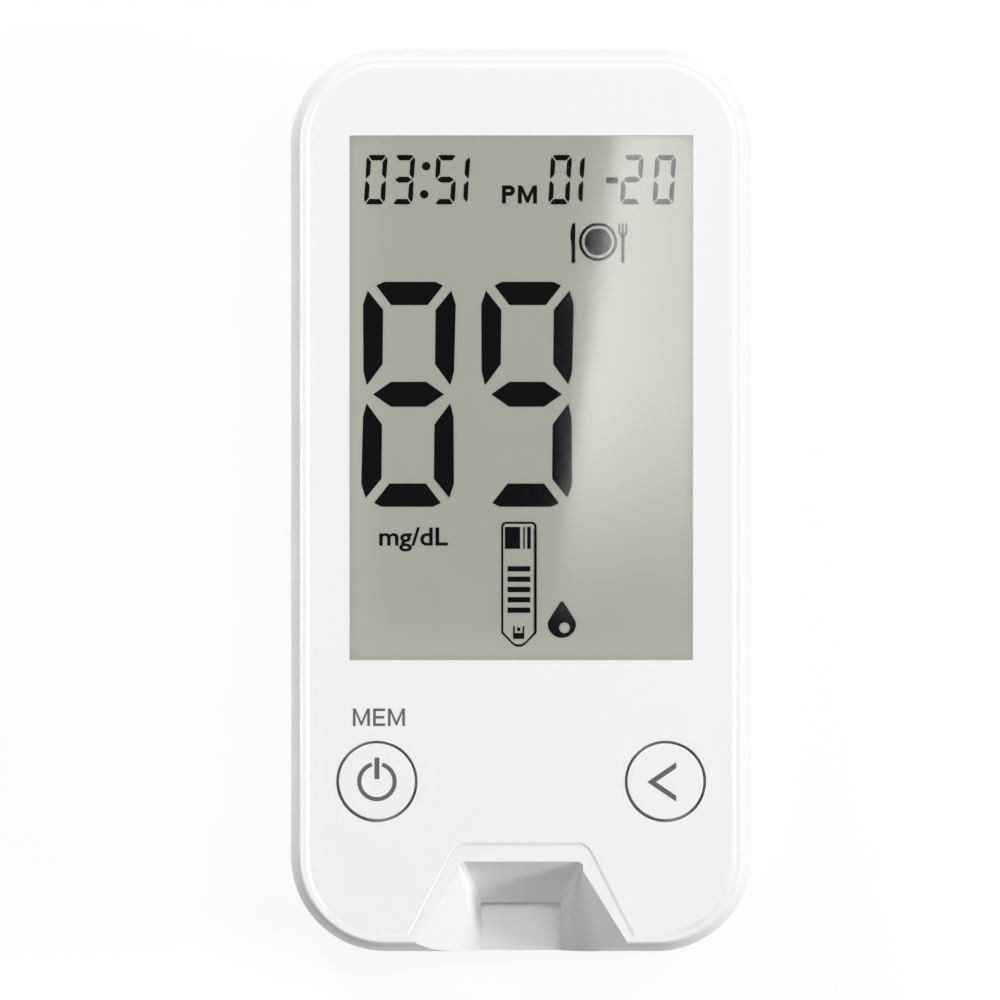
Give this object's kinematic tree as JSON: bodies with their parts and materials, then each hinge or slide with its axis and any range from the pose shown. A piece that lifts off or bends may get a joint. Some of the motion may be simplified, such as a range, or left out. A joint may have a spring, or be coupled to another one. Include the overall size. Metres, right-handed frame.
{
  "type": "blood glucose meter",
  "caption": "Palm-size blood glucose meter: white two-shell case, flush display window, two round keys, test strip port in the lower end, sliding battery door on the back.",
  "frame": {"origin": "centre of the meter's outline, on the back face that it lies on", "axes": "+X to the right seen from the front, +Y to the top end of the display, +Z out of the window"},
  "size_m": [0.047, 0.092, 0.0155],
  "materials": {
    "case_white": "white moulded plastic, satin to gloss",
    "window_clear": "clear polished acrylic",
    "foam_dark": "closed-cell foam",
    "film_grey": "polarising film",
    "cell_glass": "polished glass",
    "display_grey": "grey-green reflector film",
    "frame_white": "moulded",
    "strip_rubber": "layered silicone rubber",
    "board_green": "solder mask on glass-fibre board",
    "chip_black": "moulded epoxy",
    "ceramic_tan": "fired ceramic",
    "ceramic_black": "glazed ceramic",
    "steel": "plated steel",
    "cell_steel": "nickel-plated steel",
    "contact_gold": "gold-plated spring metal",
    "key_white": "white moulded plastic",
    "plunger_dark": "moulded",
    "plate_white": "blank printed film"
  },
  "bodies": {
    "case": {"front_cover": "case_white", "rear_cover": "case_white", "display_window": "window_clear", "lcd_gasket": "foam_dark", "lcd_front_film": "film_grey", "lcd_front_glass": "cell_glass", "lcd_rear_glass": "cell_glass", "lcd_reflector": "display_grey", "lcd_frame": "frame_white", "zebra_strip_upper": "strip_rubber", "zebra_strip_lower": "strip_rubber", "main_board": "board_green", "processor_chip": "chip_black", "memory_chip": "chip_black", "amplifier_chip": "chip_black", "quartz_crystal": "steel", "capacitors": "ceramic_tan", "resistors": "ceramic_black", "buzzer": "chip_black", "power_switch": "steel", "arrow_switch": "steel", "strip_connector": "chip_black", "strip_contacts": "contact_gold", "coin_cell_lower": "cell_steel", "coin_cell_upper": "cell_steel", "positive_clips": "contact_gold", "negative_springs": "contact_gold", "case_screws": "steel", "board_screws": "steel", "rating_plate": "plate_white"},
    "power_key": {"power_key": "key_white", "power_plunger": "plunger_dark"},
    "arrow_key": {"arrow_key": "key_white", "arrow_plunger": "plunger_dark"},
    "battery_door": {"battery_door": "case_white"}
  },
  "joints": [
    {"name": "power_key_press", "type": "slide", "parent": "case", "child": "power_key", "axis": [0, 0, -1], "range_m": [0, 0.0004], "stiffness_N_per_m": 400, "springref_m": -0.0003},
    {"name": "arrow_key_press", "type": "slide", "parent": "case", "child": "arrow_key", "axis": [0, 0, -1], "range_m": [0, 0.0004], "stiffness_N_per_m": 400, "springref_m": -0.0003},
    {"name": "battery_door_slide", "type": "slide", "parent": "case", "child": "battery_door", "axis": [0, 1, 0], "range_m": [0, 0.038]}
  ]
}
